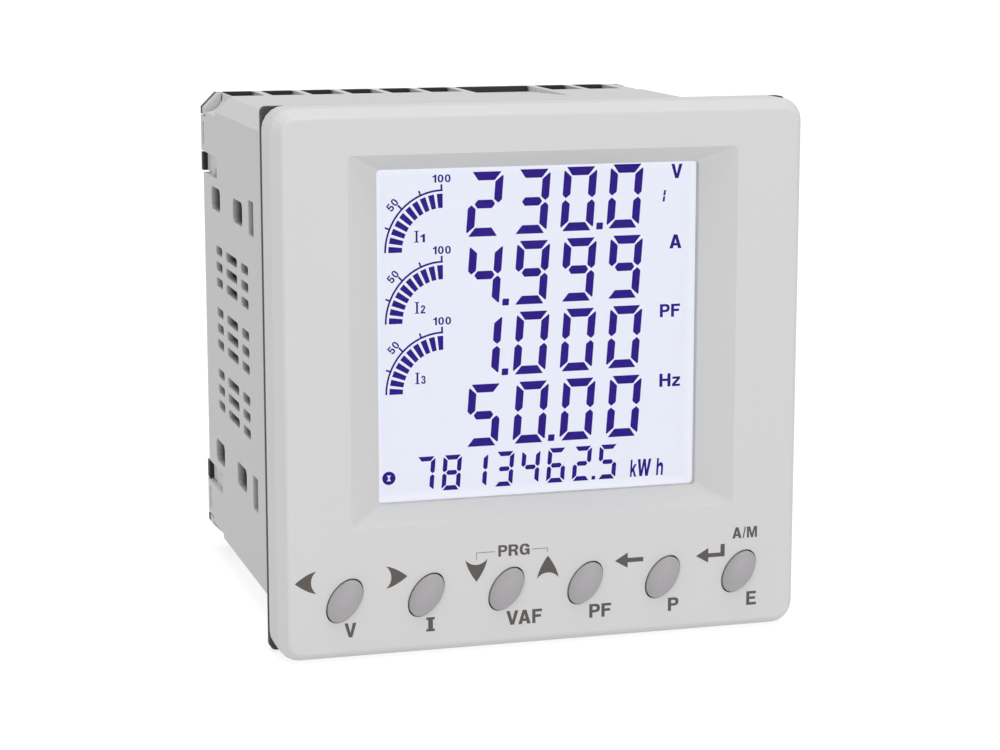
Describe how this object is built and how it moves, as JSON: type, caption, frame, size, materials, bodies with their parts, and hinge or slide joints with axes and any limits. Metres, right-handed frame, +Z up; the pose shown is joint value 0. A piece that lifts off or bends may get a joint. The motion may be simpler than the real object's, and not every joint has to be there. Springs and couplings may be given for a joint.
{
  "type": "panel-mounted multifunction power meter",
  "caption": "Square panel meter with a backlit liquid crystal display, a row of slanted oval push keys, a deep vented housing and rear screw terminals.",
  "frame": {"origin": "centre of the panel cut-out, in the plane of the panel's front surface, where the gasket's rear face lies", "axes": "+Y runs into the panel towards the terminals, so the display looks along -Y; +Z is up; +X is to the right of someone reading the display"},
  "size_m": [0.096, 0.0894, 0.096],
  "materials": {
    "bezel_plastic": "fine moulded texture, satin",
    "housing_plastic": "moulded grey thermoplastic, matt",
    "gasket_rubber": "matt dark rubber",
    "key_plastic": "satin grey moulded keys",
    "clear_window": "clear acrylic",
    "lcd_glass": "lit liquid crystal cell with polariser",
    "backlight_white": "white light guide",
    "holder_white": "white moulded frame",
    "board_green": "solder resist on glass laminate",
    "terminal_black": "black flame-retardant moulding",
    "switch_black": "black moulded plastic",
    "plated_steel": "bright plated steel",
    "copper": "bright copper strip",
    "ct_resin": "dark blue cast resin",
    "core_steel": "varnished laminations",
    "coil_tape": "yellow polyester tape",
    "capacitor_sleeve": "shrunk plastic sleeve"
  },
  "bodies": {
    "meter": {"bottom_terminal_block": "terminal_black", "bottom_terminal_screw_1": "plated_steel", "bottom_terminal_screw_2": "plated_steel", "bottom_terminal_screw_3": "plated_steel", "bottom_terminal_screw_4": "plated_steel", "bottom_terminal_screw_5": "plated_steel", "bottom_terminal_screw_6": "plated_steel", "bottom_terminal_screw_7": "plated_steel", "bottom_terminal_screw_8": "plated_steel", "capacitor_1": "capacitor_sleeve", "capacitor_2": "capacitor_sleeve", "current_board": "board_green", "current_board_header": "switch_black", "current_transformer_1": "ct_resin", "current_transformer_2": "ct_resin", "current_transformer_3": "ct_resin", "display_board": "board_green", "display_screw_1": "plated_steel", "display_screw_2": "plated_steel", "display_screw_3": "plated_steel", "display_screw_4": "plated_steel", "display_window": "clear_window", "front_bezel": "bezel_plastic", "lcd_backlight": "backlight_white", "lcd_glass": "lcd_glass", "lcd_holder": "holder_white", "measuring_chip": "switch_black", "panel_gasket": "gasket_rubber", "primary_bar_1": "copper", "primary_bar_2": "copper", "primary_bar_3": "copper", "rear_housing": "housing_plastic", "supply_board": "board_green", "supply_board_header": "switch_black", "switch_e": "switch_black", "switch_i": "switch_black", "switch_p": "switch_black", "switch_pf": "switch_black", "switch_v": "switch_black", "switch_vaf": "switch_black", "top_terminal_block": "terminal_black", "top_terminal_screw_1": "plated_steel", "top_terminal_screw_2": "plated_steel", "top_terminal_screw_3": "plated_steel", "top_terminal_screw_4": "plated_steel", "top_terminal_screw_5": "plated_steel", "top_terminal_screw_6": "plated_steel", "top_terminal_screw_7": "plated_steel", "top_terminal_screw_8": "plated_steel", "transformer_coil": "coil_tape", "transformer_core": "core_steel"},
    "key_v": {"key_v": "key_plastic"},
    "key_i": {"key_i": "key_plastic"},
    "key_vaf": {"key_vaf": "key_plastic"},
    "key_pf": {"key_pf": "key_plastic"},
    "key_p": {"key_p": "key_plastic"},
    "key_e": {"key_e": "key_plastic"}
  },
  "joints": [
    {"name": "key_v_press", "type": "slide", "parent": "meter", "child": "key_v", "axis": [0, 1, 0], "range_m": [0, 0.0006], "stiffness_N_per_m": 2500},
    {"name": "key_i_press", "type": "slide", "parent": "meter", "child": "key_i", "axis": [0, 1, 0], "range_m": [0, 0.0006], "stiffness_N_per_m": 2500},
    {"name": "key_vaf_press", "type": "slide", "parent": "meter", "child": "key_vaf", "axis": [0, 1, 0], "range_m": [0, 0.0006], "stiffness_N_per_m": 2500},
    {"name": "key_pf_press", "type": "slide", "parent": "meter", "child": "key_pf", "axis": [0, 1, 0], "range_m": [0, 0.0006], "stiffness_N_per_m": 2500},
    {"name": "key_p_press", "type": "slide", "parent": "meter", "child": "key_p", "axis": [0, 1, 0], "range_m": [0, 0.0006], "stiffness_N_per_m": 2500},
    {"name": "key_e_press", "type": "slide", "parent": "meter", "child": "key_e", "axis": [0, 1, 0], "range_m": [0, 0.0006], "stiffness_N_per_m": 2500}
  ]
}
